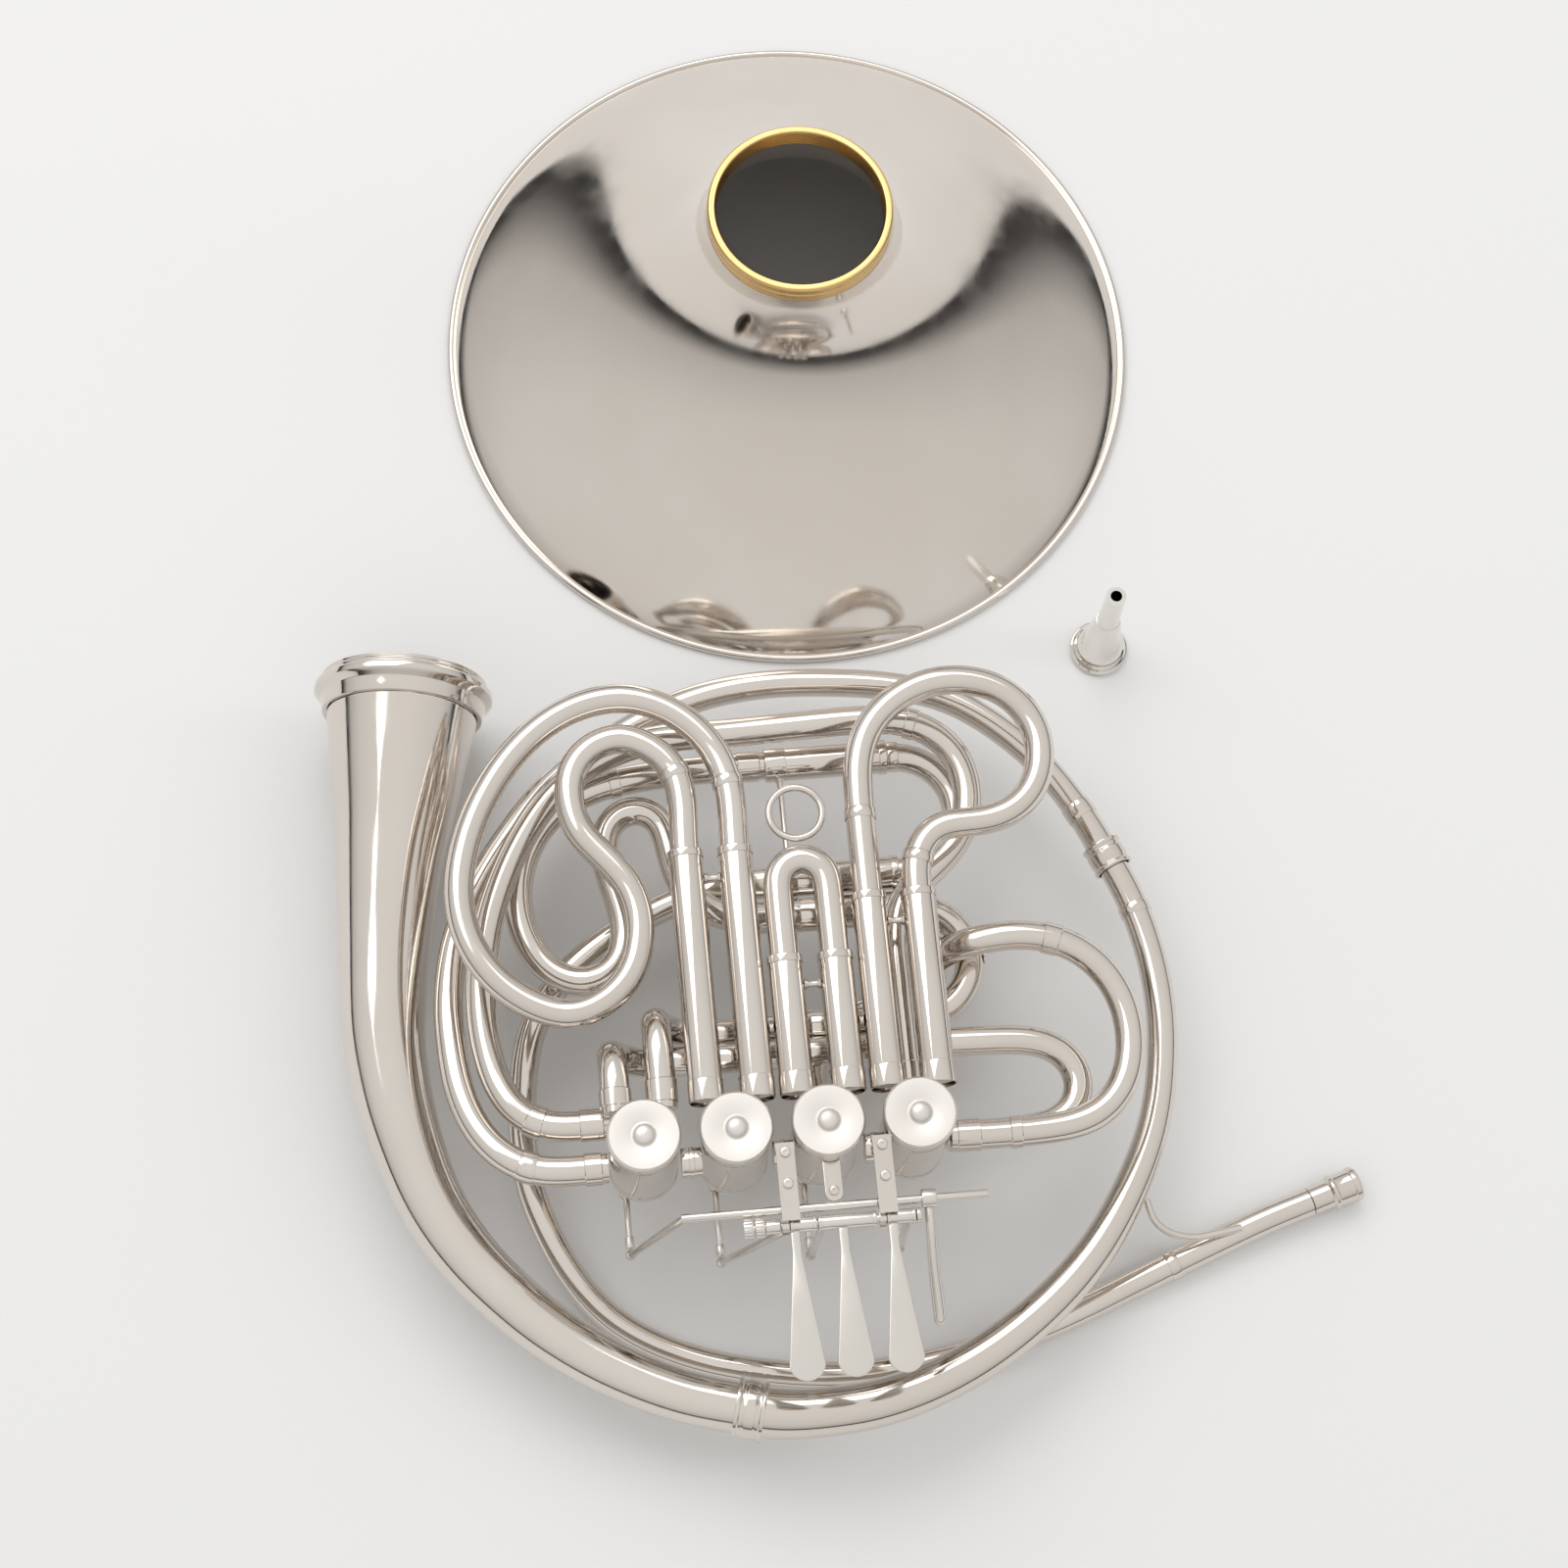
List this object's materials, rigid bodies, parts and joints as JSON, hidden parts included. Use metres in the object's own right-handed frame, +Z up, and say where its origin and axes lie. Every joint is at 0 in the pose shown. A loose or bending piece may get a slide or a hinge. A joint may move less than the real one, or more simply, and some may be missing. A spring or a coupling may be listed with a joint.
{
  "type": "double french horn",
  "caption": "Double french horn lying with its rotary valves up, with pull-out slides and levers, its screw bell and its mouthpiece standing beside it.",
  "frame": {"origin": "under the middle of the whole set's box, on the surface that it lies on", "axes": "+X along the valve line towards the receiver's side, +Y along the front slides towards the bell, +Z up, towards the valve caps"},
  "size_m": [0.4244, 0.6544, 0.131],
  "materials": {
    "nickel_plate": "polished nickel plate",
    "satin_nickel": "satin nickel",
    "lever_metal": "satin polished",
    "gold_brass": "bare turned brass",
    "silver_plate": "mirror silver plate"
  },
  "bodies": {
    "horn": {"tail_ring": "nickel_plate", "bell_tail": "nickel_plate", "tail_ferrule": "nickel_plate", "bell_branch": "nickel_plate", "branch_ferrule": "nickel_plate", "return_branch": "nickel_plate", "leadpipe": "nickel_plate", "receiver": "nickel_plate", "leadpipe_stay": "nickel_plate", "second_return": "nickel_plate", "front_loop": "nickel_plate", "rear_loop": "nickel_plate", "change_elbow": "nickel_plate", "inner_loop": "nickel_plate", "main_tuning_sleeves": "nickel_plate", "b_flat_tuning_sleeves": "nickel_plate", "first_sleeves": "nickel_plate", "second_sleeves": "nickel_plate", "third_sleeves": "nickel_plate", "sleeve_stay_1": "nickel_plate", "sleeve_stay_2": "nickel_plate", "knuckle_tube_1": "nickel_plate", "knuckle_tube_2": "nickel_plate", "knuckle_tube_3": "nickel_plate", "valve_casing_change": "nickel_plate", "valve_casing_first": "nickel_plate", "valve_casing_second": "nickel_plate", "valve_casing_third": "nickel_plate", "valve_cap_change": "satin_nickel", "valve_cap_first": "satin_nickel", "valve_cap_second": "satin_nickel", "valve_cap_third": "satin_nickel", "bearing_plate_change": "satin_nickel", "bearing_plate_first": "satin_nickel", "bearing_plate_second": "satin_nickel", "bearing_plate_third": "satin_nickel", "lever_bracket_1": "lever_metal", "lever_bracket_2": "lever_metal", "hinge_rod": "lever_metal"},
    "bell": {"bell_flare": "nickel_plate", "bell_ring": "gold_brass"},
    "mouthpiece_body": {"mouthpiece": "silver_plate"},
    "first_slide_body": {"first_slide": "nickel_plate"},
    "second_slide_body": {"second_slide": "nickel_plate", "pull_ring": "nickel_plate"},
    "third_slide_body": {"third_slide": "nickel_plate"},
    "main_tuning_body": {"main_tuning_slide": "nickel_plate"},
    "b_flat_tuning_body": {"b_flat_tuning_slide": "nickel_plate"},
    "first_lever": {"finger_lever_1": "lever_metal"},
    "second_lever": {"finger_lever_2": "lever_metal"},
    "third_lever": {"finger_lever_3": "lever_metal"},
    "change_lever": {"thumb_lever": "lever_metal"},
    "first_rotor": {"rotor_first": "gold_brass"},
    "second_rotor": {"rotor_second": "gold_brass"},
    "third_rotor": {"rotor_third": "gold_brass"},
    "change_rotor": {"rotor_change": "gold_brass"},
    "first_link": {"link_rod_first": "lever_metal"},
    "second_link": {"link_rod_second": "lever_metal"},
    "third_link": {"link_rod_third": "lever_metal"},
    "change_link": {"link_rod_change": "lever_metal"}
  },
  "joints": [
    {"name": "bell_lift", "type": "slide", "parent": "horn", "child": "bell", "axis": [0, 0, 1], "range_m": [0, 0.25]},
    {"name": "mouthpiece_lift", "type": "slide", "parent": "horn", "child": "mouthpiece_body", "axis": [0, 0, 1], "range_m": [0, 0.15]},
    {"name": "first_slide_pull", "type": "slide", "parent": "horn", "child": "first_slide_body", "axis": [0, 1, 0], "range_m": [0, 0.055]},
    {"name": "second_slide_pull", "type": "slide", "parent": "horn", "child": "second_slide_body", "axis": [0, 1, 0], "range_m": [0, 0.035]},
    {"name": "third_slide_pull", "type": "slide", "parent": "horn", "child": "third_slide_body", "axis": [0, 1, 0], "range_m": [0, 0.045]},
    {"name": "main_tuning_pull", "type": "slide", "parent": "horn", "child": "main_tuning_body", "axis": [1, 0, 0], "range_m": [0, 0.02]},
    {"name": "b_flat_tuning_pull", "type": "slide", "parent": "horn", "child": "b_flat_tuning_body", "axis": [1, 0, 0], "range_m": [0, 0.015]},
    {"name": "first_lever_press", "type": "hinge", "parent": "horn", "child": "first_lever", "pos_m": [-0.03455, -0.25299, 0.092], "axis": [1, 0, 0], "range_deg": [0, 15], "stiffness_Nm_per_rad": 0.3, "springref_deg": -11.46},
    {"name": "second_lever_press", "type": "hinge", "parent": "horn", "child": "second_lever", "pos_m": [-0.02345, -0.25299, 0.092], "axis": [1, 0, 0], "range_deg": [0, 15], "stiffness_Nm_per_rad": 0.3, "springref_deg": -11.46},
    {"name": "third_lever_press", "type": "hinge", "parent": "horn", "child": "third_lever", "pos_m": [0.00355, -0.25299, 0.092], "axis": [1, 0, 0], "range_deg": [0, 15], "stiffness_Nm_per_rad": 0.3, "springref_deg": -11.46},
    {"name": "thumb_lever_press", "type": "hinge", "parent": "horn", "child": "change_lever", "pos_m": [0.02085, -0.24669, 0.092], "axis": [1, 0, 0], "range_deg": [0, 15], "stiffness_Nm_per_rad": 0.3, "springref_deg": -11.46},
    {"name": "first_rotor_turn", "type": "hinge", "parent": "horn", "child": "first_rotor", "pos_m": [-0.0519, -0.21249, 0.06], "axis": [0, 0, -1], "range_deg": [0, 90]},
    {"name": "second_rotor_turn", "type": "hinge", "parent": "horn", "child": "second_rotor", "pos_m": [-0.0154, -0.21249, 0.06], "axis": [0, 0, -1], "range_deg": [0, 90]},
    {"name": "third_rotor_turn", "type": "hinge", "parent": "horn", "child": "third_rotor", "pos_m": [0.0211, -0.21249, 0.06], "axis": [0, 0, -1], "range_deg": [0, 90]},
    {"name": "change_rotor_turn", "type": "hinge", "parent": "horn", "child": "change_rotor", "pos_m": [-0.0884, -0.21249, 0.06], "axis": [0, 0, -1], "range_deg": [0, 90]},
    {"name": "first_link_swing", "type": "hinge", "parent": "first_lever", "child": "first_link", "pos_m": [-0.0599, -0.25299, 0.031], "axis": [1, 0, 0], "range_deg": [-15, 0]},
    {"name": "second_link_swing", "type": "hinge", "parent": "second_lever", "child": "second_link", "pos_m": [-0.0234, -0.25299, 0.031], "axis": [1, 0, 0], "range_deg": [-15, 0]},
    {"name": "third_link_swing", "type": "hinge", "parent": "third_lever", "child": "third_link", "pos_m": [0.0131, -0.25299, 0.031], "axis": [1, 0, 0], "range_deg": [-15, 0]},
    {"name": "change_link_swing", "type": "hinge", "parent": "change_lever", "child": "change_link", "pos_m": [-0.0964, -0.24669, 0.031], "axis": [1, 0, 0], "range_deg": [-15, 0]}
  ],
  "couplings": [
    {"joint": "first_rotor_turn", "follows": "first_lever_press", "ratio": 6},
    {"joint": "second_rotor_turn", "follows": "second_lever_press", "ratio": 6},
    {"joint": "third_rotor_turn", "follows": "third_lever_press", "ratio": 6},
    {"joint": "change_rotor_turn", "follows": "thumb_lever_press", "ratio": 6},
    {"joint": "first_link_swing", "follows": "first_lever_press", "ratio": -1},
    {"joint": "second_link_swing", "follows": "second_lever_press", "ratio": -1},
    {"joint": "third_link_swing", "follows": "third_lever_press", "ratio": -1},
    {"joint": "change_link_swing", "follows": "thumb_lever_press", "ratio": -1}
  ]
}
